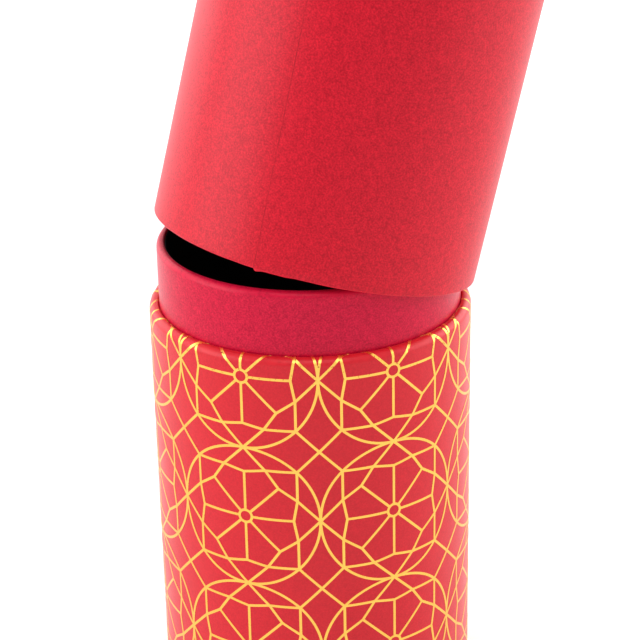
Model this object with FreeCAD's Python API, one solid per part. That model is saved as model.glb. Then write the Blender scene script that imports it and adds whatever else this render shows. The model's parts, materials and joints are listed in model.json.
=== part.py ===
import FreeCAD, Part
import math
import os

# Cylindrical gift tube: a base with a standing neck, and a lid that lifts off.
# Each half is a board tube closed by a board disc, covered in paper and lined.
# Origin at the middle of the base's underside, +Z up, +X the way the lid leans.

# Driving sizes, in millimetres
base_radius = 38.0
base_height = 100.0
neck_height = 15.1
lid_height = 80.0
lid_clearance = 0.5

# Sheets, glue films and boards
paper = 0.2
glue = 0.05
base_board = 1.8
neck_board = 1.5
lid_board = 1.7
disc_board = 2.0

# Hems: how far each wrapping paper is turned in past its bend
rim_hem = 12.0
neck_hem = 9.0
mouth_hem = 12.0
end_hem = 12.0

# Bends of the paper on its board side: at the lid's mouth, inside the rims of base and neck,
# and at the closed ends; the slope where a sheet steps off a hem, and how much of a bend the
# crushed corner of the board under it takes up
mouth_fold = 0.3
rim_fold = 0.3
end_fold = 0.8
step_run = 0.6
crush_share = 0.85

# Margins: covers inside the edge, linings below a rim, neck paper below the shoulder
cover_margin = 2.5
base_lining_setback = 0.6
lid_lining_setback = 3.0
neck_tuck = 25.0

# Lapped seams: width of the second layer, its turn-in at the mouth, and where it starts
seam_lap = 10.0
lap_hem = 2.0
lid_seam_angle = -140.4
base_seam_angle = 62.0

# Resting lid: lean from upright, gap on the low side, and gap to the neck's rim
lid_lean = 15.46
low_gap = 0.76
perch_gap = 0.1

# Angles and the shortest edge that is drawn
quarter_turn = 90.0
full_turn = 360.0
shortest_edge = 1e-6

# Radii, worked out from the base's outside inwards and from the neck outwards
layer = paper + glue
two_layers = 2.0 * layer
base_tube_outer = base_radius - layer
base_bore = base_tube_outer - base_board
neck_outer = base_bore - layer - glue
neck_tube_outer = neck_outer - layer
neck_bore = neck_tube_outer - neck_board
mouth_bore = neck_outer + lid_clearance
lid_bore = mouth_bore + layer
lid_tube_outer = lid_bore + lid_board
lid_radius = lid_tube_outer + layer

# Outer bends over the two open rims, which go round all of the board that the inner folds leave
base_rim_bend = base_board + 2.0 * glue - rim_fold
neck_rim_bend = neck_board + 2.0 * glue - rim_fold

# Heights of the base, and of the lid above its own mouth
base_floor = two_layers + disc_board
neck_top = base_height + neck_height
neck_hem_end = neck_top - paper - rim_fold - neck_hem
lid_boards_top = lid_height - two_layers
lid_ceiling = lid_boards_top - disc_board

# Inner edge of the hem that lies under the lid's cover
lid_hem_edge = lid_tube_outer + glue - end_fold - end_hem

origin = FreeCAD.Vector(0, 0, 0)
up = FreeCAD.Vector(0, 0, 1)
across = FreeCAD.Vector(0, 1, 0)


def run(length):
    """A straight stretch of a sheet."""
    return ("run", length, 0)


def bend(radius, degrees):
    """A bend of a sheet to the right, round the board."""
    return ("bend", radius, degrees)


def sheet_section(radius, height, heading, moves, thickness):
    """Cross-section of a sheet that follows its board side, with its free side on the left."""
    def normal(direction):
        return FreeCAD.Vector(-math.sin(direction), 0, math.cos(direction))

    angle = math.radians(heading)
    place = FreeCAD.Vector(radius, 0, height)
    start = place
    start_free = place + normal(angle) * thickness
    board_edges = []
    free_edges = []
    for kind, size, degrees in moves:
        old = normal(angle)
        if kind == "run":
            end = place + FreeCAD.Vector(math.cos(angle), 0, math.sin(angle)) * size
            board_edges.append(Part.LineSegment(place, end).toShape())
            free_edges.append(Part.LineSegment(place + old * thickness, end + old * thickness).toShape())
        else:
            centre = place - old * size
            middle = normal(angle - math.radians(degrees) / 2.0)
            angle -= math.radians(degrees)
            new = normal(angle)
            end = centre + new * size
            outside = size + thickness
            board_edges.append(Part.Arc(place, centre + middle * size, end).toShape())
            free_edges.append(Part.Arc(centre + old * outside, centre + middle * outside,
                                       centre + new * outside).toShape())
        place = end
    end_edge = Part.LineSegment(place, place + normal(angle) * thickness).toShape()
    start_edge = Part.LineSegment(start_free, start).toShape()
    return Part.Face(Part.Wire(board_edges + [end_edge] + free_edges[::-1] + [start_edge]))


def straight_section(points):
    """Cross-section with straight sides; a point that repeats the one before is dropped."""
    corners = []
    for radius, height in points:
        corner = FreeCAD.Vector(radius, 0, height)
        if not corners or (corner - corners[-1]).Length > shortest_edge:
            corners.append(corner)
    return Part.Face(Part.makePolygon(corners + corners[:1]))


def turned(face, degrees=full_turn, from_angle=0.0):
    """Solid of revolution about the tube's axis, over the given part of a turn."""
    solid = face.revolve(origin, up, degrees)
    solid.rotate(origin, up, from_angle)
    return solid


def lapped(single, second_layer, radius, seam_angle):
    """A wrapped sheet whose last stretch lies as a second layer over its own start."""
    lap = math.degrees(seam_lap / radius)
    doubled = single.fuse(second_layer).removeSplitter().Faces[0]
    plain = turned(single, full_turn - lap, seam_angle + lap)
    return plain.fuse(turned(doubled, lap, seam_angle)).removeSplitter()


def board_tube(inner, outer, low, high, inner_low=0.0, outer_low=0.0, inner_high=0.0, outer_high=0.0):
    """Board tube, with the width of the flat crushed on each corner of its wall."""
    return turned(straight_section([
        (inner, low + inner_low), (inner + inner_low, low),
        (outer - outer_low, low), (outer, low + outer_low),
        (outer, high - outer_high), (outer - outer_high, high),
        (inner + inner_high, high), (inner, high - inner_high)]))


def flat_disc(radius, low, thickness):
    """Flat round sheet or board."""
    return Part.makeCylinder(radius, thickness, FreeCAD.Vector(0, 0, low))


def cover_disc(edge, hem_edge, ring_low, middle_low):
    """Paper disc that lies on a hem near its edge and is pressed on the board inside it."""
    inside = hem_edge - step_run
    return turned(straight_section([
        (0.0, middle_low), (inside, middle_low), (hem_edge, ring_low), (edge, ring_low),
        (edge, ring_low + paper), (hem_edge, ring_low + paper),
        (inside, middle_low + paper), (0.0, middle_low + paper)]))


def lining_tube(stations):
    """Paper tube, through the height and outer radius of each station from the lowest up."""
    outside = [(radius, height) for height, radius in stations]
    inside = [(radius - paper, height) for height, radius in reversed(stations)]
    return turned(straight_section(outside + inside))


# Base: tube, disc, wrapping paper and the paper that covers the underside
def make_base_tube():
    return board_tube(base_bore, base_tube_outer, two_layers, base_height - layer,
                      outer_low=crush_share * (end_fold - glue),
                      inner_high=crush_share * (rim_fold - glue),
                      outer_high=crush_share * (base_rim_bend - glue))


def make_base_disc():
    return flat_disc(base_bore - glue, two_layers, disc_board)


def make_base_wrap():
    crest = base_height - paper
    wall_top = crest - base_rim_bend
    wall = wall_top - (two_layers - glue) - end_fold
    moves = [run(rim_hem), bend(rim_fold, quarter_turn), bend(base_rim_bend, quarter_turn),
             run(wall), bend(end_fold, quarter_turn), run(end_hem)]
    single = sheet_section(base_bore - glue, crest - rim_fold - rim_hem, quarter_turn, moves, paper)
    second = sheet_section(base_tube_outer + glue, wall_top, -quarter_turn, [run(wall)], 2.0 * paper)
    return lapped(single, second, base_radius, base_seam_angle)


def make_base_cover():
    return flat_disc(base_radius - cover_margin, 0.0, paper)


# Neck: the inner tube that stands on the base disc, its paper, and the black lining
def make_neck_tube():
    return board_tube(neck_bore, neck_tube_outer, base_floor + glue, neck_top - layer,
                      inner_high=crush_share * (rim_fold - glue),
                      outer_high=crush_share * (neck_rim_bend - glue))


def make_neck_wrap():
    wall = neck_height - paper - neck_rim_bend + neck_tuck
    moves = [run(neck_hem), bend(rim_fold, quarter_turn), bend(neck_rim_bend, quarter_turn), run(wall)]
    return turned(sheet_section(neck_bore - glue, neck_hem_end, quarter_turn, moves, paper))


def make_base_lining():
    on_board = neck_bore - glue
    on_hem = on_board - layer
    return lining_tube([(base_floor + layer + glue, on_board), (neck_hem_end - step_run, on_board),
                        (neck_hem_end, on_hem), (neck_top - base_lining_setback, on_hem)])


def make_base_floor_lining():
    return flat_disc(neck_bore - glue, base_floor + glue, paper)


# Lid, made upright on its own mouth
def make_lid_tube():
    corner = crush_share * (mouth_fold - glue)
    return board_tube(lid_bore, lid_tube_outer, layer, lid_boards_top,
                      inner_low=corner, outer_low=corner, outer_high=crush_share * (end_fold - glue))


def make_lid_disc():
    return flat_disc(lid_bore - glue, lid_ceiling, disc_board)


def make_lid_wrap():
    top = lid_boards_top + glue
    wall_top = top - end_fold
    wall = wall_top - paper - mouth_fold
    mouth_edge = lid_board + 2.0 * (glue - mouth_fold)
    corner = bend(mouth_fold, quarter_turn)
    to_mouth = [run(wall), corner, run(mouth_edge), corner]
    moves = [run(end_hem), bend(end_fold, quarter_turn)] + to_mouth + [run(mouth_hem)]
    single = sheet_section(lid_hem_edge, top, 0.0, moves, paper)
    second = sheet_section(lid_tube_outer + glue, wall_top, -quarter_turn, to_mouth + [run(lap_hem)], 2.0 * paper)
    return lapped(single, second, lid_radius, lid_seam_angle)


def make_lid_cover():
    on_board = lid_boards_top + glue
    return cover_disc(lid_radius - cover_margin, lid_hem_edge, on_board + layer, on_board)


def make_lid_lining():
    hem_end = paper + mouth_fold + mouth_hem
    on_hem = mouth_bore - glue
    on_board = lid_bore - glue
    return lining_tube([(lid_lining_setback, on_hem), (hem_end, on_hem),
                        (hem_end + step_run, on_board), (lid_ceiling - layer - glue, on_board)])


def make_lid_ceiling_lining():
    return flat_disc(lid_bore - glue, lid_ceiling - layer, paper)


def seat_lid(shape):
    """Lean the upright lid and perch its mouth on the neck's rim."""
    lean = math.radians(lid_lean)
    slope = math.tan(lean)
    offset = neck_outer + low_gap - mouth_bore * math.cos(lean)
    room = mouth_bore ** 2 - (neck_outer + perch_gap) ** 2 + offset ** 2
    reach = (math.sqrt(offset ** 2 + slope ** 2 * room) - offset) / slope ** 2
    shape.rotate(origin, across, lid_lean)
    shape.translate(FreeCAD.Vector(offset, 0, neck_top - reach * slope))
    return shape


nodes = {
    "base_tube": make_base_tube(),
    "base_disc": make_base_disc(),
    "base_wrap": make_base_wrap(),
    "base_cover": make_base_cover(),
    "neck_tube": make_neck_tube(),
    "neck_wrap": make_neck_wrap(),
    "base_lining": make_base_lining(),
    "base_floor_lining": make_base_floor_lining(),
    "lid_tube": seat_lid(make_lid_tube()),
    "lid_disc": seat_lid(make_lid_disc()),
    "lid_wrap": seat_lid(make_lid_wrap()),
    "lid_cover": seat_lid(make_lid_cover()),
    "lid_lining": seat_lid(make_lid_lining()),
    "lid_ceiling_lining": seat_lid(make_lid_ceiling_lining()),
}

os.makedirs("parts", exist_ok=True)
for name, shape in nodes.items():
    if len(shape.Solids) != 1 or not shape.isValid():
        raise ValueError(name + " is not one valid solid")
    shape.Solids[0].exportStep("parts/" + name + ".step")
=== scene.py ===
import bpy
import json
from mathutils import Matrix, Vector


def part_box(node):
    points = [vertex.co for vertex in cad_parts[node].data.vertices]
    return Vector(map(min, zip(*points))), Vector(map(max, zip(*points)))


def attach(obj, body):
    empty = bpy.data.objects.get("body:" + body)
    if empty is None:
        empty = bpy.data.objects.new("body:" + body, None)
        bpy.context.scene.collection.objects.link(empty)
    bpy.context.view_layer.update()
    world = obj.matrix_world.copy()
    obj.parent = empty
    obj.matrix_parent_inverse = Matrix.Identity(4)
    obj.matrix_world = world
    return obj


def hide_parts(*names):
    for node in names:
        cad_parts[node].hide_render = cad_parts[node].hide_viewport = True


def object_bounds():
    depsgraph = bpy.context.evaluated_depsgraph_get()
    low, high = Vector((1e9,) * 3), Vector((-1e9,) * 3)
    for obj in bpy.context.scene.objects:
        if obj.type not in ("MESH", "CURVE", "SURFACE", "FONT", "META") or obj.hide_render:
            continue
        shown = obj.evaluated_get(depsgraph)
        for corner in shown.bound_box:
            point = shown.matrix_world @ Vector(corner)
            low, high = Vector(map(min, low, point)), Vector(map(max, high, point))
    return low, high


bl_info = {
    "name": "Gift Tube Box",
    "version": (1, 0, 0),
    "blender": (4, 5, 0),
    "location": "3D View > Sidebar > Gift Tube",
    "description": "Papers, gold lattice and studio for the packed gift tube box",
    "category": "Object",
}

import json
import math
from collections import namedtuple

import bmesh
import bpy
from bpy.props import FloatProperty, FloatVectorProperty, PointerProperty
from mathutils import Matrix, Vector, noise

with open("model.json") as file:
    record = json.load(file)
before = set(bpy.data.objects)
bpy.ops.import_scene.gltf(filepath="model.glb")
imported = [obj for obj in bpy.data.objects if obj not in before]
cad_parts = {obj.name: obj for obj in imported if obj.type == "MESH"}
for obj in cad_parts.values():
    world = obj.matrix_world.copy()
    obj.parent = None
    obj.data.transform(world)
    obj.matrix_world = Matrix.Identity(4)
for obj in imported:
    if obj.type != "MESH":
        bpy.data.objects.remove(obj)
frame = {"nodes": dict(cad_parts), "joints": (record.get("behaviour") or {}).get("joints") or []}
cad_low, cad_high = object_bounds()

# Sheets as the frame has them: paper, its glue film, and both together
PAPER = 0.0002
GLUE = 0.00005
LAYER = PAPER + GLUE

# Sizes that the frame gives
BASE_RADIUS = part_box("base_tube")[1].x + LAYER
BASE_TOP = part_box("base_wrap")[1].z
NECK_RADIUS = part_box("neck_wrap")[1].x
NECK_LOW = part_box("neck_wrap")[0].z
NECK_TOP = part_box("neck_wrap")[1].z
LINING_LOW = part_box("base_lining")[0].z
LINING_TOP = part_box("base_lining")[1].z
FLOOR_PAPER_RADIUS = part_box("base_floor_lining")[1].x
FLOOR_PAPER_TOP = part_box("base_floor_lining")[1].z
LID_AXIS = Vector(frame["joints"][0]["axis"])
LID_LEAN = math.atan2(LID_AXIS.x, LID_AXIS.z)

# Mesh fineness: columns round a tube, more of them close to a seam, rows along a run and steps of a bend
COLUMNS = 360
SEAM_COLUMNS = (0.0001, 0.0003, 0.0006, 0.0009, 0.0012)
CUT_COLUMNS = 2
ROW_STEP = 0.002
BEND_STEP = math.radians(9.0)
EDGE_WIDTH = 0.00002
WELD = 1e-7
SHARP_ANGLE = math.radians(40.0)

FULL_TURN = 2.0 * math.pi
HALF_TURN = math.pi
QUARTER_TURN = math.pi / 2.0
UP = Vector((0.0, 0.0, 1.0))


# Settings that a user would change, by kind
def length_setting(label, text, default):
    """A length in metres."""
    return FloatProperty(name=label, description=text, default=default, unit="LENGTH", precision=6)


def angle_setting(label, text, degrees):
    """An angle, given in degrees."""
    return FloatProperty(name=label, description=text, default=math.radians(degrees), subtype="ANGLE")


def share_setting(label, text, default):
    """A share of another size."""
    return FloatProperty(name=label, description=text, default=default, subtype="FACTOR")


def place_setting(label, text, default):
    """A place in metres."""
    return FloatVectorProperty(
        name=label, description=text, default=default, subtype="TRANSLATION", unit="LENGTH", precision=6)


def colour_setting(label, text, default):
    """A colour."""
    return FloatVectorProperty(
        name=label, description=text, default=default, subtype="COLOR", min=0.0, max=1.0)


def power_setting(label, text, default):
    """A lamp's power in watts."""
    return FloatProperty(name=label, description=text, default=default, unit="POWER")


class GiftTubeSizes(bpy.types.PropertyGroup):
    """Papers of the base, the neck and the lid"""

    base_bend: length_setting(
        "Base Bend", "Outer radius of the paper bent over the outside of the base's rim", 0.0018)
    neck_bend: length_setting(
        "Neck Bend", "Outer radius of the paper bent over the outside of the neck's rim", 0.0015)
    rim_fold: length_setting(
        "Rim Fold", "Outer radius of the paper folded in at the rim of the base or the neck", 0.0005)
    end_fold: length_setting("End Fold", "Outer radius of the paper folded over a closed end", 0.0010)
    mouth_fold: length_setting(
        "Mouth Fold", "Outer radius of the paper folded in at the lid's mouth", 0.0005)
    lid_radius: length_setting("Lid Radius", "Outer radius of the lid's paper", 0.03835)
    lid_bore: length_setting("Lid Bore", "Radius inside the hem at the lid's mouth", 0.03615)
    lid_height: length_setting("Lid Height", "Lid from its mouth to its top", 0.080)
    lid_mouth: place_setting("Lid Mouth", "Middle of the resting lid's mouth", (0.001567, 0.0, 0.11281))
    hem: length_setting("Hem", "Turned-in width of a wrapping paper", 0.012)
    neck_hem: length_setting("Neck Hem", "Turned-in width of the neck's paper", 0.009)
    seam_lap: length_setting("Seam Lap", "Width of the lap where a paper covers its own start", 0.010)
    lap_fade: length_setting("Lap Fade", "Width over which the lap sinks to the wall", 0.003)
    base_seam: angle_setting("Base Seam", "Angle of the open edge of the base's paper", 62.0)
    lid_seam: angle_setting("Lid Seam", "Angle of the open edge of the lid's paper at the mouth", -139.8)
    lid_seam_slant: angle_setting(
        "Lid Seam Slant", "How far the open edge turns from the lid's mouth to its top", -2.2)
    lid_overhang: length_setting(
        "Lid Overhang", "How much lower the lapped paper's tip hangs at the lid's mouth", 0.00045)
    lid_corner: length_setting("Lid Corner", "Width of the slanting corner of the lapped paper", 0.0005)
    lid_tip: length_setting(
        "Lid Tip", "Width over which the lapped paper's tip rises to the lid's mouth", 0.0025)
    lid_draw: length_setting("Lid Draw", "How much higher the lid's mouth is where the lap ends", 0.00012)
    mouth_wobble: length_setting("Mouth Wobble", "Unevenness of the fold at the lid's mouth", 0.00005)
    lid_lining_setback: length_setting(
        "Lid Lining Setback", "Lid's mouth to the edge of its lining", 0.003)
    end_board: length_setting("End Board", "Thickness of the board that closes the lid", 0.002)
    step_run: length_setting("Step Run", "Length of the slope where a sheet steps off a hem", 0.0006)
    cover_margin: length_setting(
        "Cover Margin", "Wall to the edge of the paper disc on a closed end", 0.0025)
    ripple: length_setting("Ripple", "Depth of the soft unevenness of a glued paper", 0.00003)
    pleat: length_setting("Pleat", "Depth of the small pleats in a hem on a closed end", 0.00008)


class GiftTubeLattice(bpy.types.PropertyGroup):
    """Gold lattice of circles and eight-pointed stars"""

    pitch: length_setting("Pitch", "Side of one square of the lattice", 0.03534)
    line_width: length_setting("Line Width", "Width of a stamped line", 0.00062)
    film: length_setting("Film", "Thickness of the stamped film with what sinks into the paper", 0.00005)
    touch_angle: angle_setting("Touch Angle", "Angle at which two columns of circles touch", -115.48)
    top_hub: length_setting("Top Hub", "Height of the uppermost hubs", 0.09501)
    hub_share: share_setting("Hub Share", "Hub ring's radius as a share of the circle's", 0.089)
    spoke_share: share_setting(
        "Spoke Share", "Outer end of a spoke as a share of the circle's radius", 0.653)


class GiftTubeColours(bpy.types.PropertyGroup):
    """Dyes, foil and board"""

    lid_red: colour_setting("Lid Red", "Soft paper of the lid", (0.66, 0.004, 0.022))
    base_red: colour_setting("Base Red", "Printed paper of the base", (0.71, 0.014, 0.026))
    neck_crimson: colour_setting("Neck Crimson", "Paper of the neck", (0.64, 0.004, 0.042))
    lining_black: colour_setting("Lining Black", "Paper of the linings", (0.040, 0.042, 0.042))
    gold: colour_setting("Gold", "Stamped film", (0.98, 0.57, 0.115))
    board: colour_setting("Board", "Wound grey board", (0.42, 0.38, 0.33))


class GiftTubeStudio(bpy.types.PropertyGroup):
    """Camera and lights"""

    camera_place: place_setting(
        "Camera Place", "Where the camera stands", (-0.210247, -0.404962, 0.291235))
    camera_heading: angle_setting("Camera Heading", "Turn of the camera about the upright axis", -27.72)
    camera_pitch: angle_setting("Camera Pitch", "How far the camera looks down", 23.465)
    camera_roll: angle_setting("Camera Roll", "Turn of the camera about its own sight line", -1.1725)
    lens: FloatProperty(
        name="Lens", description="Focal length on a 36 mm sensor", default=117.54, unit="CAMERA")
    room_light: FloatProperty(
        name="Room Light", description="Light from all round that falls on the object", default=0.20)
    left_light: power_setting("Left Light", "Soft light on the camera's left", 6.2)
    right_light: power_setting("Right Light", "Soft light on the camera's right", 5.3)
    front_light: power_setting("Front Light", "Soft light from above the camera", 3.1)
    left_back_light: power_setting("Left Back Light", "Soft light behind the object on the left", 3.3)
    right_back_light: power_setting("Right Back Light", "Soft light behind the object on the right", 4.3)
    top_light: power_setting("Top Light", "Soft light from above", 5.5)


class GiftTubeSettings(bpy.types.PropertyGroup):
    """All that a user would change"""

    sizes: PointerProperty(type=GiftTubeSizes)
    lattice: PointerProperty(type=GiftTubeLattice)
    colours: PointerProperty(type=GiftTubeColours)
    studio: PointerProperty(type=GiftTubeStudio)


# Node helpers, with the part of a noise that is spread over 0 to 1
NOISE_LOW = 0.3
NOISE_HIGH = 0.7


def node(tree, kind, inputs=None, **settings):
    """A new node with its settings, and its inputs linked or set."""
    made = tree.nodes.new(kind)
    for name, value in settings.items():
        setattr(made, name, value)
    for name, value in (inputs or {}).items():
        if isinstance(value, bpy.types.NodeSocket):
            tree.links.new(value, made.inputs[name])
        else:
            made.inputs[name].default_value = value
    return made


def reckon(tree, operation, *values):
    """Output of a Math node."""
    return node(tree, "ShaderNodeMath", dict(enumerate(values)), operation=operation).outputs[0]


def blank_finish(name):
    """A new material with its node tree and its shader."""
    material = bpy.data.materials.new(name)
    material.use_nodes = True
    tree = material.node_tree
    return material, tree, tree.nodes["Principled BSDF"]


def grain(tree, place, size, detail):
    """Noise with features of the given size, spread over 0 to 1."""
    texture = node(tree, "ShaderNodeTexNoise", {"Vector": place, "Scale": 1.0 / size, "Detail": detail})
    return node(tree, "ShaderNodeMapRange", {
        "Value": texture.outputs[0], "From Min": NOISE_LOW, "From Max": NOISE_HIGH}).outputs[0]


def tooth(tree, shader, height, strength, depth):
    """Small bumps on a shader."""
    bumps = node(tree, "ShaderNodeBump", {"Height": height, "Strength": strength, "Distance": depth})
    tree.links.new(bumps.outputs[0], shader.inputs["Normal"])


def shade(colour, share):
    """A colour made lighter or darker, as a shader takes it."""
    return [min(1.0, part * share) for part in colour] + [1.0]


def pale(colour, share):
    """A colour made lighter and a little whiter, as a shader takes it."""
    return [min(1.0, part * (1.0 + share) + WHITENING * share) for part in colour] + [1.0]


def between(tree, factor, first, second):
    """Colour between two others."""
    colours = {"Factor": factor, 6: first, 7: second}
    return node(tree, "ShaderNodeMix", colours, data_type="RGBA").outputs[2]


# Finishes, with the sizes and strengths of what shows in the papers, the film and the board
FIBRE = 0.0004
FIBRE_DETAIL = 2.0
CLUMP = 0.0014
CLUMP_DETAIL = 2.0
CLUMP_SHARE = 0.28
SPECK_PITCH = 0.003
SPECK_SHARE = 0.07
SPECK_TONE = 0.2
WHITENING = 0.03
# Paler bends: partly rubbed paper, partly a painted highlight where a fold catches the light
LEAST_RUB_AND_HIGHLIGHT = 0.4
# Darker line along the cut edge of a lapped paper
CUT_EDGE_DARK_SHARE = 0.7
CUT_EDGE_DARK_TONE = 0.3
PAPER_TOOTH = 0.00004
PAPER_TOOTH_STRENGTH = 0.3
FOIL_DETAIL = 3.0
FOIL_PATCH = 0.004
FOIL_PATCH_DETAIL = 2.0
FOIL_TONES = (0.94, 1.04)
FOIL_ROUGHNESS = (0.24, 0.38)
FOIL_TOOTH = 0.00002
FOIL_TOOTH_STRENGTH = 0.2
FLAKE = 0.0006
FLAKE_DETAIL = 1.0
FLAKE_START = 0.82
FLAKE_REACH = 0.008
FLAKE_TONE = 0.4
BOARD_FLECK = 0.0008
BOARD_DETAIL = 4.0
BOARD_STRETCH = 5.0
BOARD_TONES = (0.8, 1.15)
BOARD_ROUGHNESS = 0.9
BOARD_TOOTH = 0.00005
BOARD_TOOTH_STRENGTH = 0.3
Paper = namedtuple("Paper", "dye mottle roughness specular rubbing")
PAPERS = {
    "soft_red_paper": Paper("lid_red", 0.29, 0.38, 0.22, 0.2),
    "printed_red_paper": Paper("base_red", 0.10, 0.30, 0.26, 0.15),
    "dyed_crimson_paper": Paper("neck_crimson", 0.27, 0.30, 0.16, 0.2),
    "dyed_black_paper": Paper("lining_black", 0.20, 0.85, 0.10, 0.2),
}


def paper_finish(name, colours):
    """Dyed paper: fibres and their clumps, specks, folds made paler partly by rubbing and partly by a
    painted highlight, a darker line along cut edges, and a fine tooth.
    """
    material, tree, shader = blank_finish(name)
    paper = PAPERS[name]
    colour = getattr(colours, paper.dye)
    place = node(tree, "ShaderNodeTexCoord").outputs["Object"]
    fibres = grain(tree, place, FIBRE, FIBRE_DETAIL)
    clumps = grain(tree, place, CLUMP, CLUMP_DETAIL)
    fine = reckon(tree, "MULTIPLY", fibres, 1.0 - CLUMP_SHARE)
    mixed = reckon(tree, "MULTIPLY_ADD", clumps, CLUMP_SHARE, fine)
    dyed = between(tree, mixed, shade(colour, 1.0 - paper.mottle), pale(colour, paper.mottle))
    cells = node(tree, "ShaderNodeTexVoronoi", {"Vector": place, "Scale": 1.0 / SPECK_PITCH}).outputs
    dark = node(tree, "ShaderNodeSeparateColor", {0: cells["Color"]}).outputs[0]
    near = reckon(tree, "LESS_THAN", cells["Distance"], SPECK_SHARE)
    speck = reckon(tree, "MULTIPLY", near, reckon(tree, "MULTIPLY", dark, paper.mottle))
    dyed = between(tree, speck, dyed, shade(colour, SPECK_TONE))
    # Paler along the outer bends: partly rubbed paper, partly a painted highlight where the fold catches
    # the light
    worn = node(tree, "ShaderNodeAttribute", attribute_name="worn").outputs["Fac"]
    rub_and_highlight_mask = reckon(tree, "MULTIPLY", worn, reckon(tree, "ADD", clumps, LEAST_RUB_AND_HIGHLIGHT))
    dyed = between(tree, rub_and_highlight_mask, dyed, pale(colour, paper.rubbing))
    # Darker along the cut edge of the lap
    cut = node(tree, "ShaderNodeAttribute", attribute_name="cut").outputs["Fac"]
    cut_edge_dark = reckon(tree, "MULTIPLY", cut, reckon(tree, "MULTIPLY", clumps, CUT_EDGE_DARK_SHARE))
    dyed = between(tree, cut_edge_dark, dyed, shade(colour, CUT_EDGE_DARK_TONE))
    tree.links.new(dyed, shader.inputs["Base Color"])
    tooth(tree, shader, mixed, PAPER_TOOTH_STRENGTH, PAPER_TOOTH)
    shader.inputs["Roughness"].default_value = paper.roughness
    shader.inputs["Specular IOR Level"].default_value = paper.specular
    return material


def foil_finish(colour, paper):
    """Stamped gold film over the paper's tooth, with small breaks near the rim that show the paper."""
    material, tree, shader = blank_finish("gold_film")
    place = node(tree, "ShaderNodeTexCoord").outputs["Object"]
    fibres = grain(tree, place, FIBRE, FOIL_DETAIL)
    patches = grain(tree, place, FOIL_PATCH, FOIL_PATCH_DETAIL)
    tone = between(tree, patches, *[shade(colour, share) for share in FOIL_TONES])
    flakes = grain(tree, place, FLAKE, FLAKE_DETAIL)
    gone = node(tree, "ShaderNodeMapRange", {"Value": flakes, "From Min": FLAKE_START, "From Max": 1.0})
    height = node(tree, "ShaderNodeSeparateXYZ", {0: place}).outputs["Z"]
    handled = node(tree, "ShaderNodeMapRange", {
        "Value": height, "From Min": BASE_TOP - FLAKE_REACH, "From Max": BASE_TOP})
    broken = reckon(tree, "MULTIPLY", gone.outputs[0], handled.outputs[0])
    tone = between(tree, broken, tone, shade(paper, FLAKE_TONE))
    tree.links.new(tone, shader.inputs["Base Color"])
    smooth, dull = FOIL_ROUGHNESS
    rough = node(tree, "ShaderNodeMapRange", {"Value": fibres, "To Min": smooth, "To Max": dull})
    tree.links.new(rough.outputs[0], shader.inputs["Roughness"])
    tooth(tree, shader, fibres, FOIL_TOOTH_STRENGTH, FOIL_TOOTH)
    shader.inputs["Metallic"].default_value = 1.0
    return material


def board_finish(colour):
    """Wound grey board: upright flecks and a coarse tooth."""
    material, tree, shader = blank_finish("wound_board")
    place = node(tree, "ShaderNodeTexCoord").outputs["Object"]
    drawn = node(tree, "ShaderNodeMapping", {"Vector": place, "Scale": (1.0, 1.0, 1.0 / BOARD_STRETCH)})
    flecks = grain(tree, drawn.outputs[0], BOARD_FLECK, BOARD_DETAIL)
    tone = between(tree, flecks, *[shade(colour, share) for share in BOARD_TONES])
    tree.links.new(tone, shader.inputs["Base Color"])
    tooth(tree, shader, flecks, BOARD_TOOTH_STRENGTH, BOARD_TOOTH)
    shader.inputs["Roughness"].default_value = BOARD_ROUGHNESS
    return material


def finish(name):
    """The named material, made on its first use."""
    found = bpy.data.materials.get(name)
    if found:
        return found
    colours = bpy.context.scene.gift_tube.colours
    if name == "gold_film":
        return foil_finish(colours.gold, colours.base_red)
    if name == "wound_board":
        return board_finish(colours.board)
    return paper_finish(name, colours)


# Sheets, with the numbers of their waves and pleats, and how far past its middle the pale band of a bend
# peaks, which is partly rubbing and partly a painted highlight
WAVES_PER_METRE = 60.0
RIPPLE_WAVES = 19.0
WOBBLE_WAVES = 60.0
PLEATS = 54
PLEAT_WANDER = 2.0
RUB_AND_HIGHLIGHT_SHIFT = 1.2
Station = namedtuple("Station", "radius height out_radial out_axial length turning worn")


def run(length):
    """A straight stretch of a sheet."""
    return ("run", length, 0.0, 0.0)


def bend(radius, angle, rub_and_highlight_peak=0.0):
    """A bend round the board, by the radius of the sheet's free side, and how pale it is made: partly
    rubbing, partly a painted highlight.
    """
    return ("bend", radius, angle, rub_and_highlight_peak)


def sheet_path(radius, height, heading, moves):
    """Stations along the free side of a sheet, which bends to its right."""
    def normal(direction):
        return -math.sin(direction), math.cos(direction)

    place = Vector((radius, height))
    angle = heading
    length = 0.0
    stations = [Station(radius, height, *normal(angle), length, True, 0.0)]
    for kind, size, turn, rub_and_highlight_peak in moves:
        start = place.copy()
        out = Vector(normal(angle))
        travel = size if kind == "run" else size * turn
        steps = math.ceil(travel / ROW_STEP if kind == "run" else turn / BEND_STEP)
        for step in range(1, steps + 1):
            share = step / steps
            if kind == "run":
                place = start + Vector((math.cos(angle), math.sin(angle))) * size * share
                facing = normal(angle)
            else:
                facing = normal(angle - turn * share)
                place = start + (Vector(facing) - out) * size
            turning = kind == "bend" or step == steps
            # Pale band over the bend: partly rubbing, partly a painted highlight
            worn = rub_and_highlight_peak * math.sin(HALF_TURN * share ** RUB_AND_HIGHLIGHT_SHIFT) ** 2
            stations.append(Station(place.x, place.y, *facing, length + travel * share, turning, worn))
        angle -= turn
        length += travel
    return stations


def turned(angle, slant, reach, height):
    """A point at an angle about the axis, which turns further with its height."""
    way = angle + slant * height
    return Vector((reach * math.cos(way), reach * math.sin(way), height))


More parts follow.
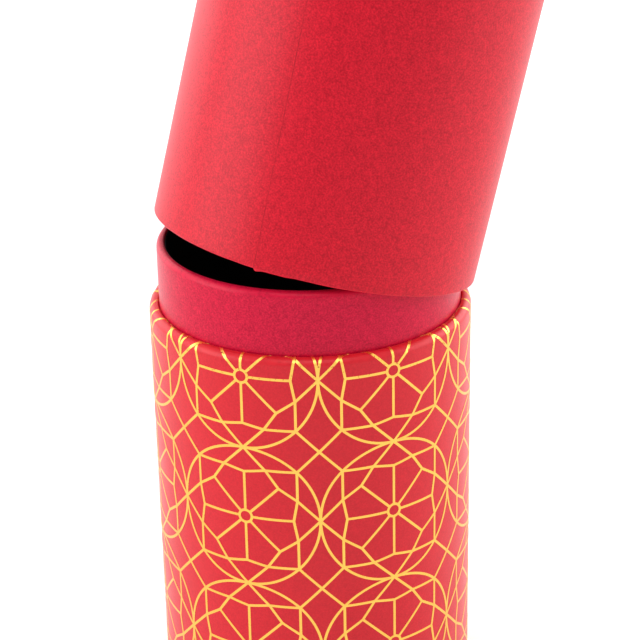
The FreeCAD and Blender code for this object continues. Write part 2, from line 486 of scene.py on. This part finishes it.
def turn_sheet(name, stations, lift, seam=0.0, seat=Matrix(), slant=0.0):
    """A sheet turned about its tube: free side, cut edges and board side as one closed skin.

    The lift gives how far a station stands out at an angle past the seam, and the slant is the
    angle that the seam turns per metre of height.
    """
    widest = max(station.radius for station in stations)
    close = [step / widest for step in SEAM_COLUMNS]
    even = [FULL_TURN * column / COLUMNS for column in range(1, COLUMNS)]
    columns = [0.0] + close + [angle for angle in even if angle > close[-1]]
    columns.append(FULL_TURN - EDGE_WIDTH / widest)
    board = [station for station in reversed(stations) if station.turning]
    ring = len(stations) + len(board)
    lengths = [station.length for station in stations + board]

    def spot(station, past_seam, out):
        reach = max(0.0, station.radius + station.out_radial * out)
        return seat @ turned(seam + past_seam, slant, reach, station.height + station.out_axial * out)

    points = []
    for past_seam in columns:
        points += [spot(station, past_seam, lift(station, past_seam)) for station in stations]
        points += [spot(station, past_seam, -PAPER) for station in board]
    faces = []
    unwrapped = []
    count = len(columns)
    for column in range(count):
        after = (column + 1) % count
        here = column * ring
        there = after * ring
        left = columns[column] * widest
        right = (columns[after] + (FULL_TURN if after == 0 else 0.0)) * widest
        for row in range(ring):
            below = (row + 1) % ring
            faces.append((here + row, here + below, there + below, there + row))
            for across_place, row_place in ((left, row), (left, below), (right, below), (right, row)):
                unwrapped += [across_place, lengths[row_place]]
    mesh = bpy.data.meshes.new(name)
    mesh.from_pydata(points, [], faces)
    mesh.uv_layers.new(name="sheet").data.foreach_set("uv", unwrapped)
    # Pale bands of the bends, partly rubbing and partly a painted highlight, for the finish
    worn = [station.worn for station in stations] + [0.0] * len(board)
    mesh.attributes.new("worn", "FLOAT", "POINT").data.foreach_set("value", worn * count)
    lapped = [float(lift(station, 0.0) > PAPER / 2.0) for station in stations] + [0.0] * len(board)
    cut = lapped * CUT_COLUMNS + [0.0] * (ring * (count - CUT_COLUMNS))
    mesh.attributes.new("cut", "FLOAT", "POINT").data.foreach_set("value", cut)
    return mesh


def closed(mesh):
    """The mesh with the points on its axis merged and its hard edges marked."""
    work = bmesh.new()
    work.from_mesh(mesh)
    bmesh.ops.remove_doubles(work, verts=work.verts, dist=WELD)
    work.to_mesh(mesh)
    work.free()
    mesh.shade_smooth()
    mesh.set_sharp_from_angle(angle=SHARP_ANGLE)
    return mesh


def place_piece(name, mesh, finish_name, body, slot, *nodes):
    """A finished piece that rides on a body and stands for its nodes."""
    piece = bpy.data.objects.new(name, mesh)
    bpy.context.scene.collection.objects.link(piece)
    mesh.materials.clear()
    mesh.materials.append(finish(finish_name))
    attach(piece, body)
    if nodes:
        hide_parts(*nodes)


def fade(value):
    """A smooth step from 0 to 1."""
    share = min(1.0, max(0.0, value))
    return share * share * (3.0 - 2.0 * share)


def lap_lift(sizes, radius, past_seam):
    """Height of a lapped seam: a layer of paper past the open edge, which then sinks away."""
    return PAPER * fade((sizes.seam_lap - past_seam * radius) / sizes.lap_fade)


def waver(past_seam, length, waves):
    """Smooth noise round a tube, from -1 to 1, with about as many waves as asked for."""
    round_place = Vector((math.cos(past_seam), math.sin(past_seam), 0.0)) * waves / FULL_TURN
    return noise.noise(round_place + UP * length * WAVES_PER_METRE)


def ripple(sizes, station, past_seam):
    """Soft unevenness of a glued sheet, always inwards."""
    uneven = waver(past_seam, station.length, RIPPLE_WAVES)
    return -sizes.ripple * 0.5 * (1.0 + uneven) * abs(station.out_radial)


def pleats(sizes, past_seam):
    """Small pleats of a hem that is turned in on a closed end, always inwards."""
    wander = waver(past_seam, 0.0, PLEATS / 2.0)
    return -sizes.pleat * 0.5 * (1.0 + math.cos(PLEATS * past_seam + PLEAT_WANDER * wander))


def no_lift(station, past_seam):
    """Lift of a sheet that lies flat."""
    return 0.0


def lid_seat(sizes):
    """From the upright lid on its mouth to the lid at rest."""
    return Matrix.Translation(sizes.lid_mouth) @ Matrix.Rotation(LID_LEAN, 4, "Y")


# Papers of the base
def base_path(sizes):
    """Free side of the base's paper: hem inside the rim, fold, bend, wall, fold, and hem underneath."""
    inside = BASE_RADIUS - sizes.base_bend - sizes.rim_fold
    hem_end = BASE_TOP - sizes.rim_fold - sizes.hem
    wall = BASE_TOP - sizes.base_bend - sizes.end_fold - LAYER
    return sheet_path(inside, hem_end, QUARTER_TURN, [
        run(sizes.hem), bend(sizes.rim_fold, QUARTER_TURN), bend(sizes.base_bend, QUARTER_TURN, 1.0),
        run(wall), bend(sizes.end_fold, QUARTER_TURN, 1.0), run(sizes.hem)])


class GIFTTUBE_OT_base_paper(bpy.types.Operator):
    """Wrap the base in its printed paper"""

    bl_idname = "gift_tube.base_paper"
    bl_label = "Base Paper"

    def execute(self, context):
        sizes = context.scene.gift_tube.sizes

        def lift(station, past_seam):
            lap = max(0.0, station.out_radial) * lap_lift(sizes, BASE_RADIUS, past_seam)
            hem = max(0.0, -station.out_axial) * pleats(sizes, past_seam)
            return lap + hem + ripple(sizes, station, past_seam)

        mesh = closed(turn_sheet("base_paper", base_path(sizes), lift, sizes.base_seam))
        place_piece("base_paper", mesh, "printed_red_paper", "base", "foil_printed_paper", "base_wrap")
        return {"FINISHED"}


class GIFTTUBE_OT_neck_paper(bpy.types.Operator):
    """Wrap the neck in its crimson paper"""

    bl_idname = "gift_tube.neck_paper"
    bl_label = "Neck Paper"

    def execute(self, context):
        sizes = context.scene.gift_tube.sizes
        inside = NECK_RADIUS - sizes.neck_bend - sizes.rim_fold
        hem_end = NECK_TOP - sizes.rim_fold - sizes.neck_hem
        path = sheet_path(inside, hem_end, QUARTER_TURN, [
            run(sizes.neck_hem), bend(sizes.rim_fold, QUARTER_TURN),
            bend(sizes.neck_bend, QUARTER_TURN, 1.0), run(NECK_TOP - sizes.neck_bend - NECK_LOW)])

        def lift(station, past_seam):
            return ripple(sizes, station, past_seam)

        mesh = closed(turn_sheet("neck_paper", path, lift))
        place_piece("neck_paper", mesh, "dyed_crimson_paper", "base", "crimson_paper", "neck_wrap")
        return {"FINISHED"}


# Paper of the lid
class GIFTTUBE_OT_lid_paper(bpy.types.Operator):
    """Wrap the lid in its soft paper, with the lapped seam"""

    bl_idname = "gift_tube.lid_paper"
    bl_label = "Lid Paper"

    def execute(self, context):
        sizes = context.scene.gift_tube.sizes
        top = sizes.lid_height - LAYER
        edge = sizes.lid_radius - sizes.lid_bore - 2.0 * sizes.mouth_fold
        corner = bend(sizes.mouth_fold, QUARTER_TURN, 1.0)
        path = sheet_path(sizes.lid_radius - sizes.end_fold - sizes.hem, top, 0.0, [
            run(sizes.hem), bend(sizes.end_fold, QUARTER_TURN, 1.0),
            run(top - sizes.end_fold - sizes.mouth_fold),
            corner, run(edge), corner, run(sizes.hem)])
        slant = sizes.lid_seam_slant / sizes.lid_height

        def lift(station, past_seam):
            past = past_seam * sizes.lid_radius
            outside = max(0.0, station.out_radial, -station.out_axial)
            lap = lap_lift(sizes, sizes.lid_radius, past_seam) * outside
            hang = min(1.0, past / sizes.lid_corner) * fade(1.0 - past / sizes.lid_tip)
            drawn = fade(past / sizes.seam_lap) * fade(2.0 - past / sizes.seam_lap)
            wobble = sizes.mouth_wobble * waver(past_seam, 0.0, WOBBLE_WAVES)
            edge_fall = sizes.lid_overhang * hang - sizes.lid_draw * drawn + wobble
            low = max(0.0, -station.out_axial) * edge_fall
            hem = max(0.0, station.out_axial) * pleats(sizes, past_seam)
            return lap + low + hem + ripple(sizes, station, past_seam)

        mesh = closed(turn_sheet("lid_paper", path, lift, sizes.lid_seam, lid_seat(sizes), slant))
        place_piece("lid_paper", mesh, "soft_red_paper", "lid", "plain_red_paper", "lid_wrap")
        return {"FINISHED"}


# Gold lattice: how far it goes round the rim's inner fold, its steps, and the points of its lines
FOIL_TURN = math.radians(60.0)
HAIR_SHARE = 0.08
LEVELS = 5
BEND_CUTS = 5.0
CIRCLE_POINTS = 96
HUB_POINTS = 24
SPOKE_POINTS = 11
SIDE_POINTS = 49
LINK_POINTS = 8
SPOKES = 8
SIDES = 8
LINKS = 4
LATTICE_INPUTS = [
    "Pitch", "Line Width", "Film", "Hub Share", "Spoke Share", "First Hub", "Top Hub", "Columns", "Rows",
    "Base Radius", "Seam Angle", "Sheet Length", "Low End", "High End", "Rim Height", "Rim Bend",
    "Rim Fold", "Fold Height", "End Fold", "Lap", "Lap Fade", "Paper"]


def lattice_tree():
    """Node tree that draws the lattice flat, trims it, and wraps it on the base's paper."""
    tree = bpy.data.node_groups.new("gold_lattice", "GeometryNodeTree")
    for label in LATTICE_INPUTS:
        kind = "NodeSocketInt" if label in ("Columns", "Rows") else "NodeSocketFloat"
        tree.interface.new_socket(label, in_out="INPUT", socket_type=kind)
    tree.interface.new_socket("Material", in_out="INPUT", socket_type="NodeSocketMaterial")
    tree.interface.new_socket("Geometry", in_out="OUTPUT", socket_type="NodeSocketGeometry")
    given = tree.nodes.new("NodeGroupInput").outputs

    def add(*values):
        return reckon(tree, "ADD", *values)

    def take(*values):
        return reckon(tree, "SUBTRACT", *values)

    def times(*values):
        return reckon(tree, "MULTIPLY", *values)

    def over(*values):
        return reckon(tree, "DIVIDE", *values)

    def clamp(value, low, high):
        return reckon(tree, "MINIMUM", reckon(tree, "MAXIMUM", value, low), high)

    def vector(across=0.0, along=0.0, away=0.0):
        return node(tree, "ShaderNodeCombineXYZ", {"X": across, "Y": along, "Z": away}).outputs[0]

    def parts(socket):
        return node(tree, "ShaderNodeSeparateXYZ", {0: socket}).outputs

    def straight(start, end, count):
        line = node(tree, "GeometryNodeCurvePrimitiveLine", {"Start": start, "End": end}).outputs[0]
        return node(tree, "GeometryNodeResampleCurve", {"Curve": line, "Count": count}).outputs[0]

    def round_line(radius, count, away):
        ring = node(tree, "GeometryNodeCurvePrimitiveCircle", {"Radius": radius, "Resolution": count})
        return node(tree, "GeometryNodeSetPosition", {
            "Geometry": ring.outputs[0], "Offset": vector(away=away)}).outputs[0]

    def fanned(line, count, alternate=0.0):
        """Copies of a line turned about the hub, every other one higher by the given step."""
        number = node(tree, "GeometryNodeInputIndex").outputs[0]
        away = times(reckon(tree, "MODULO", number, 2.0), alternate)
        points = node(tree, "GeometryNodePoints", {"Count": count, "Position": vector(away=away)})
        turn = times(number, FULL_TURN / count)
        return node(tree, "GeometryNodeInstanceOnPoints", {
            "Points": points.outputs[0], "Instance": line, "Rotation": vector(away=turn)}).outputs[0]

    # One square of the lattice, drawn about its hub
    circle = over(given["Pitch"], 2.0)
    hub = times(circle, given["Hub Share"])
    spoke_end = times(circle, given["Spoke Share"])
    diagonal = times(circle, math.sqrt(0.5))
    dip_half = times(circle, 1.0 - math.sqrt(0.5))
    hair = times(given["Film"], HAIR_SHARE)
    level = [times(hair, step + 1) for step in range(LEVELS)]
    spoke = straight(vector(hub, 0.0, level[0]), vector(spoke_end, 0.0, level[0]), SPOKE_POINTS)
    side_start = vector(diagonal, diagonal, level[2])
    side_end = vector(times(diagonal, -1.0), diagonal, level[2])
    side = straight(side_start, side_end, SIDE_POINTS)
    where = parts(node(tree, "GeometryNodeInputPosition").outputs[0])
    nearness = clamp(take(1.0, over(reckon(tree, "ABSOLUTE", where[0]), dip_half)), 0.0, 1.0)
    dip = times(take(spoke_end, diagonal), nearness)
    side = node(tree, "GeometryNodeSetPosition", {
        "Geometry": side, "Offset": vector(along=dip)}).outputs[0]
    link_start = vector(diagonal, diagonal, level[1])
    link = straight(link_start, vector(circle, circle, level[1]), LINK_POINTS)
    motif = node(tree, "GeometryNodeJoinGeometry")
    for line in (round_line(circle, CIRCLE_POINTS, level[4]), round_line(hub, HUB_POINTS, level[1]),
                 fanned(spoke, SPOKES), fanned(side, SIDES, hair), fanned(link, LINKS, hair)):
        tree.links.new(line, motif.inputs[0])

    # Squares side by side, rows from the top down
    number = node(tree, "GeometryNodeInputIndex").outputs[0]
    column = reckon(tree, "MODULO", number, given["Columns"])
    row = reckon(tree, "FLOOR", over(add(number, 0.5), given["Columns"]))
    odd = reckon(tree, "MODULO", add(column, row), 2.0)
    hub_place = vector(add(given["First Hub"], times(column, given["Pitch"])),
                       take(given["Top Hub"], times(row, given["Pitch"])), times(odd, times(hair, 0.5)))
    hubs = node(tree, "GeometryNodePoints", {
        "Count": times(given["Columns"], given["Rows"]), "Position": hub_place}).outputs[0]
    squares = node(tree, "GeometryNodeInstanceOnPoints", {"Points": hubs, "Instance": motif.outputs[0]})
    lines = node(tree, "GeometryNodeRealizeInstances", {"Geometry": squares.outputs[0]}).outputs[0]

    # Shorter steps where the paper bends over the rim or folds at the bottom
    where = parts(node(tree, "GeometryNodeInputPosition").outputs[0])
    on_rim = reckon(tree, "GREATER_THAN", where[1], take(given["Rim Height"], given["Rim Bend"]))
    on_fold = reckon(tree, "LESS_THAN", where[1], add(given["Fold Height"], given["End Fold"]))
    lines = node(tree, "GeometryNodeSubdivideCurve", {
        "Curve": lines, "Cuts": times(add(on_rim, on_fold), BEND_CUTS)}).outputs[0]

    # Flat ribbons, cut at the sheet's edges
    lines = node(tree, "GeometryNodeSetCurveNormal", {"Curve": lines}, mode="Z_UP").outputs[0]
    section = node(tree, "GeometryNodeCurvePrimitiveQuadrilateral", {
        "Width": given["Line Width"], "Height": given["Film"]}).outputs[0]
    ribbons = node(tree, "GeometryNodeCurveToMesh", {
        "Curve": lines, "Profile Curve": section, "Fill Caps": True}).outputs[0]
    where = parts(node(tree, "GeometryNodeInputPosition").outputs[0])
    spare = given["Line Width"]
    outside = add(
        add(reckon(tree, "LESS_THAN", where[0], times(spare, -1.0)),
            reckon(tree, "GREATER_THAN", where[0], add(given["Sheet Length"], spare))),
        add(reckon(tree, "LESS_THAN", where[1], take(given["Low End"], spare)),
            reckon(tree, "GREATER_THAN", where[1], add(given["High End"], spare))))
    outside = reckon(tree, "GREATER_THAN", outside, 0.5)
    ribbons = node(tree, "GeometryNodeDeleteGeometry", {
        "Geometry": ribbons, "Selection": outside}, domain="FACE").outputs[0]

    # Wrapped on the wall, over the rim and under the fold
    across = clamp(where[0], 0.0, given["Sheet Length"])
    along = clamp(where[1], given["Low End"], given["High End"])
    angle = add(given["Seam Angle"], over(across, given["Base Radius"]))
    past_wall = reckon(tree, "MAXIMUM", take(along, given["Rim Height"]), 0.0)
    past_bend = take(past_wall, times(given["Rim Bend"], QUARTER_TURN))
    bent = clamp(over(past_wall, given["Rim Bend"]), 0.0, QUARTER_TURN)
    turned_in = clamp(over(past_bend, given["Rim Fold"]), 0.0, QUARTER_TURN)
    folded = clamp(over(take(given["Fold Height"], along), given["End Fold"]), 0.0, QUARTER_TURN)
    under = reckon(tree, "MAXIMUM", take(
        take(given["Fold Height"], along), times(given["End Fold"], QUARTER_TURN)), 0.0)
    tilt = take(add(bent, turned_in), folded)
    lap = node(tree, "ShaderNodeMapRange", {
        "Value": across, "From Min": take(given["Lap"], given["Lap Fade"]), "From Max": given["Lap"],
        "To Min": given["Paper"], "To Max": 0.0}, interpolation_type="SMOOTHSTEP").outputs[0]
    lapped = times(lap, reckon(tree, "MAXIMUM", reckon(tree, "COSINE", tilt), 0.0))
    away = add(where[2], lapped)
    reach = add(given["Base Radius"], times(away, reckon(tree, "COSINE", tilt)))
    reach = take(reach, times(given["Rim Bend"], take(1.0, reckon(tree, "COSINE", bent))))
    reach = take(reach, times(given["Rim Fold"], reckon(tree, "SINE", turned_in)))
    reach = take(reach, times(given["End Fold"], take(1.0, reckon(tree, "COSINE", folded))))
    reach = take(reach, under)
    height = clamp(along, given["Fold Height"], given["Rim Height"])
    height = add(height, times(away, reckon(tree, "SINE", tilt)))
    height = add(height, times(given["Rim Bend"], reckon(tree, "SINE", bent)))
    height = take(height, times(given["Rim Fold"], take(1.0, reckon(tree, "COSINE", turned_in))))
    height = take(height, times(given["End Fold"], reckon(tree, "SINE", folded)))
    across_place = times(reach, reckon(tree, "COSINE", angle))
    along_place = times(reach, reckon(tree, "SINE", angle))
    wrapped = vector(across_place, along_place, height)
    ribbons = node(tree, "GeometryNodeSetPosition", {"Geometry": ribbons, "Position": wrapped}).outputs[0]
    ribbons = node(tree, "GeometryNodeMergeByDistance", {
        "Geometry": ribbons, "Distance": WELD}).outputs[0]
    ribbons = node(tree, "GeometryNodeRealizeInstances", {"Geometry": ribbons}).outputs[0]
    ribbons = node(tree, "GeometryNodeSetMaterial", {"Geometry": ribbons, "Material": given["Material"]})
    node(tree, "NodeGroupOutput", {0: ribbons.outputs[0]})
    return tree


def grown_mesh(name, tree, values):
    """Plain mesh of a node tree with the given inputs."""
    holder = bpy.data.objects.new(name + "_nodes", bpy.data.meshes.new(name + "_nodes"))
    modifier = holder.modifiers.new(name, "NODES")
    modifier.node_group = tree
    for socket in tree.interface.items_tree:
        if socket.in_out == "INPUT":
            modifier[socket.identifier] = values[socket.name]
    bpy.context.scene.collection.objects.link(holder)
    depsgraph = bpy.context.evaluated_depsgraph_get()
    mesh = bpy.data.meshes.new_from_object(holder.evaluated_get(depsgraph))
    holder.modifiers.remove(modifier)
    bpy.data.objects.remove(holder)
    if not mesh.polygons:
        raise RuntimeError(name + " has no faces")
    mesh.name = name
    return mesh


class GIFTTUBE_OT_gold_lattice(bpy.types.Operator):
    """Stamp the gold lattice on the base's paper"""

    bl_idname = "gift_tube.gold_lattice"
    bl_label = "Gold Lattice"

    def execute(self, context):
        sizes = context.scene.gift_tube.sizes
        lattice = context.scene.gift_tube.lattice
        touch = ((lattice.touch_angle - sizes.base_seam) % FULL_TURN) * BASE_RADIUS
        sheet_length = FULL_TURN * BASE_RADIUS - EDGE_WIDTH
        first_hub = (touch + lattice.pitch / 2.0) % lattice.pitch - lattice.pitch
        rim = BASE_TOP - sizes.base_bend
        fold = LAYER + sizes.end_fold
        high_end = rim + sizes.base_bend * QUARTER_TURN + sizes.rim_fold * FOIL_TURN
        low_end = fold - sizes.end_fold * QUARTER_TURN - (sizes.cover_margin - sizes.end_fold)
        values = {
            "Pitch": lattice.pitch, "Line Width": lattice.line_width, "Film": lattice.film,
            "Hub Share": lattice.hub_share, "Spoke Share": lattice.spoke_share,
            "First Hub": first_hub, "Top Hub": lattice.top_hub,
            "Columns": math.ceil(sheet_length / lattice.pitch) + 2,
            "Rows": math.ceil(lattice.top_hub / lattice.pitch) + 1,
            "Base Radius": BASE_RADIUS, "Seam Angle": sizes.base_seam, "Sheet Length": sheet_length,
            "Low End": low_end, "High End": high_end, "Rim Height": rim, "Rim Bend": sizes.base_bend,
            "Rim Fold": sizes.rim_fold, "Fold Height": fold, "End Fold": sizes.end_fold,
            "Lap": sizes.seam_lap, "Lap Fade": sizes.lap_fade, "Paper": PAPER,
            "Material": finish("gold_film"),
        }
        mesh = grown_mesh("gold_lattice", lattice_tree(), values)
        mesh.shade_smooth()
        mesh.set_sharp_from_angle(angle=SHARP_ANGLE)
        place_piece("gold_lattice", mesh, "gold_film", "base", "foil_printed_paper")
        return {"FINISHED"}


# Papers on the closed ends, and linings
def stepped_path(corners):
    """Stations through the radius and height of each corner, with the free side on the left."""
    stations = []
    for (radius, height), (next_radius, next_height) in zip(corners, corners[1:]):
        rise = next_height - height
        go = next_radius - radius
        stretch = sheet_path(radius, height, math.atan2(rise, go), [run(math.hypot(rise, go))])
        stations += stretch[1:] if stations else stretch
    return stations


class GIFTTUBE_OT_end_papers(bpy.types.Operator):
    """Lay the paper discs on the lid's top and under the base"""

    bl_idname = "gift_tube.end_papers"
    bl_label = "End Papers"

    def execute(self, context):
        sizes = context.scene.gift_tube.sizes
        hem_edge = sizes.lid_radius - sizes.end_fold - sizes.hem
        middle = sizes.lid_height - LAYER

        path = stepped_path([
            (0.0, middle), (hem_edge - sizes.step_run, middle), (hem_edge, sizes.lid_height),
            (sizes.lid_radius - sizes.cover_margin, sizes.lid_height)])
        mesh = closed(turn_sheet("lid_top_paper", path, no_lift, seat=lid_seat(sizes)))
        place_piece("lid_top_paper", mesh, "soft_red_paper", "lid", "plain_red_paper", "lid_cover")

        path = stepped_path([(BASE_RADIUS - sizes.cover_margin, 0.0), (0.0, 0.0)])
        mesh = closed(turn_sheet("base_underside_paper", path, no_lift))
        place_piece(
            "base_underside_paper", mesh, "soft_red_paper", "base", "plain_red_paper", "base_cover")
        return {"FINISHED"}


class GIFTTUBE_OT_linings(bpy.types.Operator):
    """Line the base and the lid with black paper"""

    bl_idname = "gift_tube.linings"
    bl_label = "Linings"

    def execute(self, context):
        sizes = context.scene.gift_tube.sizes
        seat = lid_seat(sizes)

        def lift(station, past_seam):
            lap = lap_lift(sizes, station.radius, past_seam)
            return lap + ripple(sizes, station, past_seam)

        on_board = NECK_RADIUS - sizes.neck_bend - sizes.rim_fold
        on_hem = on_board - LAYER
        hem_end = NECK_TOP - sizes.rim_fold - sizes.neck_hem
        path = stepped_path([
            (on_board, LINING_LOW), (on_board, hem_end - sizes.step_run),
            (on_hem, hem_end), (on_hem, LINING_TOP)])
        mesh = closed(turn_sheet("base_lining_paper", path, lift, sizes.base_seam))
        place_piece("base_lining_paper", mesh, "dyed_black_paper", "base", "black_paper", "base_lining")

        path = stepped_path([(0.0, FLOOR_PAPER_TOP), (FLOOR_PAPER_RADIUS, FLOOR_PAPER_TOP)])
        mesh = closed(turn_sheet("base_floor_paper", path, no_lift))
        place_piece(
            "base_floor_paper", mesh, "dyed_black_paper", "base", "black_paper", "base_floor_lining")

        on_board = sizes.lid_bore
        on_hem = on_board - LAYER
        hem_end = sizes.mouth_fold + sizes.hem
        ceiling = sizes.lid_height - 2.0 * LAYER - sizes.end_board - LAYER
        path = stepped_path([
            (on_hem, sizes.lid_lining_setback), (on_hem, hem_end), (on_board, hem_end + sizes.step_run),
            (on_board, ceiling - GLUE)])
        mesh = closed(turn_sheet("lid_lining_paper", path, lift, sizes.lid_seam, seat))
        place_piece("lid_lining_paper", mesh, "dyed_black_paper", "lid", "black_paper", "lid_lining")

        path = stepped_path([(on_board + PAPER, ceiling), (0.0, ceiling)])
        mesh = closed(turn_sheet("lid_ceiling_paper", path, no_lift, seat=seat))
        place_piece(
            "lid_ceiling_paper", mesh, "dyed_black_paper", "lid", "black_paper", "lid_ceiling_lining")
        return {"FINISHED"}


# Boards keep their frame shapes
class GIFTTUBE_OT_boards(bpy.types.Operator):
    """Give the tubes and the discs their board finish"""

    bl_idname = "gift_tube.boards"
    bl_label = "Boards"

    def execute(self, context):
        for name in ("base_tube", "base_disc", "neck_tube", "lid_tube", "lid_disc"):
            materials = frame["nodes"][name].data.materials
            materials.clear()
            materials.append(finish("wound_board"))
        return {"FINISHED"}


# Studio: lens, floor, and each lamp's size and place from the middle of the box, as the camera faces it
SENSOR_WIDTH = 36.0
NEAR_CLIP = 0.01
FLOOR_HALF = 4.0
FLOOR_TONE = 0.92
SEEN_FLOOR_TONE = 0.45
SEEN_FLOOR_GLOW = 0.62
SHADOW_REACH = 0.25
WHITE_REACH = 0.9
LAMPS = (
    ("left_light", (-0.9, -0.25, 0.3), 0.8),
    ("right_light", (0.9, 0.0, 0.25), 0.8),
    ("front_light", (0.0, -0.6, 1.0), 0.8),
    ("left_back_light", (-0.75, 0.6, 0.35), 0.8),
    ("right_back_light", (0.75, 0.6, 0.35), 0.8),
    ("top_light", (0.0, 0.3, 1.1), 0.4),
)


def soft_light(name, place, aim, size, power):
    """A square soft light that faces its aim."""
    lamp = bpy.data.lights.new(name, "AREA")
    lamp.shape = "SQUARE"
    lamp.size = size
    lamp.energy = power
    light = bpy.data.objects.new(name, lamp)
    light.location = place
    light.rotation_mode = "QUATERNION"
    light.rotation_quaternion = (aim - place).to_track_quat("-Z", "Y")
    bpy.context.scene.collection.objects.link(light)


def seen_directly(tree):
    """1 for rays that show the background: straight, mirrored or through glass."""
    path = node(tree, "ShaderNodeLightPath").outputs
    mirrored = reckon(tree, "MAXIMUM", path["Is Glossy Ray"], path["Is Transmission Ray"])
    return reckon(tree, "MAXIMUM", path["Is Camera Ray"], mirrored)


def white_room(strength):
    """World that is white where it is seen and lights the object softly."""
    world = bpy.data.worlds.new("white_room")
    world.use_nodes = True
    tree = world.node_tree
    seen = seen_directly(tree)
    level = node(tree, "ShaderNodeMapRange", {"Value": seen, "To Min": strength, "To Max": 1.0})
    background = tree.nodes["Background"]
    background.inputs["Color"].default_value = (1.0, 1.0, 1.0, 1.0)
    tree.links.new(level.outputs[0], background.inputs["Strength"])
    bpy.context.scene.world = world


def floor_finish():
    """Pale floor: white where it is seen, with the shadow that falls on it."""
    material, tree, shader = blank_finish("pale_floor")
    tree.nodes.remove(shader)
    seen = seen_directly(tree)
    tone = node(tree, "ShaderNodeMapRange", {
        "Value": seen, "To Min": FLOOR_TONE, "To Max": SEEN_FLOOR_TONE})
    matt = node(tree, "ShaderNodeBsdfDiffuse", {"Color": tone.outputs[0]})
    place = node(tree, "ShaderNodeTexCoord").outputs["Object"]
    away = node(tree, "ShaderNodeVectorMath", {0: place}, operation="LENGTH").outputs["Value"]
    level = node(tree, "ShaderNodeMapRange", {
        "Value": away, "From Min": SHADOW_REACH, "From Max": WHITE_REACH,
        "To Min": SEEN_FLOOR_GLOW, "To Max": 1.0}).outputs[0]
    glow = node(tree, "ShaderNodeEmission", {"Strength": reckon(tree, "MULTIPLY", seen, level)})
    lit = node(tree, "ShaderNodeAddShader", {0: matt.outputs[0], 1: glow.outputs[0]})
    tree.links.new(lit.outputs[0], tree.nodes["Material Output"].inputs["Surface"])
    return material


class GIFTTUBE_OT_studio(bpy.types.Operator):
    """Set the floor, the soft lights and the camera"""

    bl_idname = "gift_tube.studio"
    bl_label = "Studio"

    def execute(self, context):
        scene = context.scene
        studio = scene.gift_tube.studio
        scene.view_settings.view_transform = "Standard"
        white_room(studio.room_light)

        floor_mesh = bpy.data.meshes.new("floor")
        signs = ((-1.0, -1.0), (1.0, -1.0), (1.0, 1.0), (-1.0, 1.0))
        corners = [(across * FLOOR_HALF, along * FLOOR_HALF, -PAPER) for across, along in signs]
        floor_mesh.from_pydata(corners, [], [(0, 1, 2, 3)])
        floor_mesh.materials.append(floor_finish())
        floor = bpy.data.objects.new("floor", floor_mesh)
        scene.collection.objects.link(floor)

        aim = (cad_low + cad_high) / 2.0
        turn = Matrix.Rotation(studio.camera_heading, 3, "Z")
        for name, place, size in LAMPS:
            soft_light(name, aim + turn @ Vector(place), aim, size, getattr(studio, name))

        lens = bpy.data.cameras.new("camera")
        lens.lens = studio.lens
        lens.sensor_width = SENSOR_WIDTH
        lens.clip_start = NEAR_CLIP
        camera = bpy.data.objects.new("camera", lens)
        heading = studio.camera_heading
        pitch = studio.camera_pitch
        level = Vector((math.sin(heading), -math.cos(heading), 0.0))
        back = level * math.cos(pitch) + UP * math.sin(pitch)
        right = Vector((math.cos(heading), math.sin(heading), 0.0))
        up = back.cross(right)
        rolled_right = right * math.cos(studio.camera_roll) + up * math.sin(studio.camera_roll)
        rolled_up = up * math.cos(studio.camera_roll) - right * math.sin(studio.camera_roll)
        facing = Matrix((rolled_right, rolled_up, back)).transposed()
        camera.matrix_world = Matrix.Translation(studio.camera_place) @ facing.to_4x4()
        scene.collection.objects.link(camera)
        scene.camera = camera
        return {"FINISHED"}


STEPS = (
    "base_paper", "gold_lattice", "neck_paper", "lid_paper", "end_papers", "linings", "boards", "studio")


class GIFTTUBE_PT_sidebar(bpy.types.Panel):
    """Sizes, colours and steps of the gift tube"""

    bl_idname = "GIFTTUBE_PT_sidebar"
    bl_label = "Gift Tube"
    bl_space_type = "VIEW_3D"
    bl_region_type = "UI"
    bl_category = "Gift Tube"

    def draw(self, context):
        settings = context.scene.gift_tube
        for group in (settings.sizes, settings.lattice, settings.colours, settings.studio):
            box = self.layout.box()
            for name in group.__annotations__:
                box.prop(group, name)
        for step in STEPS:
            self.layout.operator("gift_tube." + step)


CLASSES = (
    GiftTubeSizes, GiftTubeLattice, GiftTubeColours, GiftTubeStudio, GiftTubeSettings,
    GIFTTUBE_OT_base_paper, GIFTTUBE_OT_gold_lattice, GIFTTUBE_OT_neck_paper, GIFTTUBE_OT_lid_paper,
    GIFTTUBE_OT_end_papers, GIFTTUBE_OT_linings, GIFTTUBE_OT_boards, GIFTTUBE_OT_studio,
    GIFTTUBE_PT_sidebar)


def register():
    for made in CLASSES:
        bpy.utils.register_class(made)
    bpy.types.Scene.gift_tube = PointerProperty(type=GiftTubeSettings)


def unregister():
    del bpy.types.Scene.gift_tube
    for made in reversed(CLASSES):
        bpy.utils.unregister_class(made)


def main():
    """Make every piece in order."""
    register()
    for step in STEPS:
        getattr(bpy.ops.gift_tube, step)()


if __name__ == "__main__":
    main()
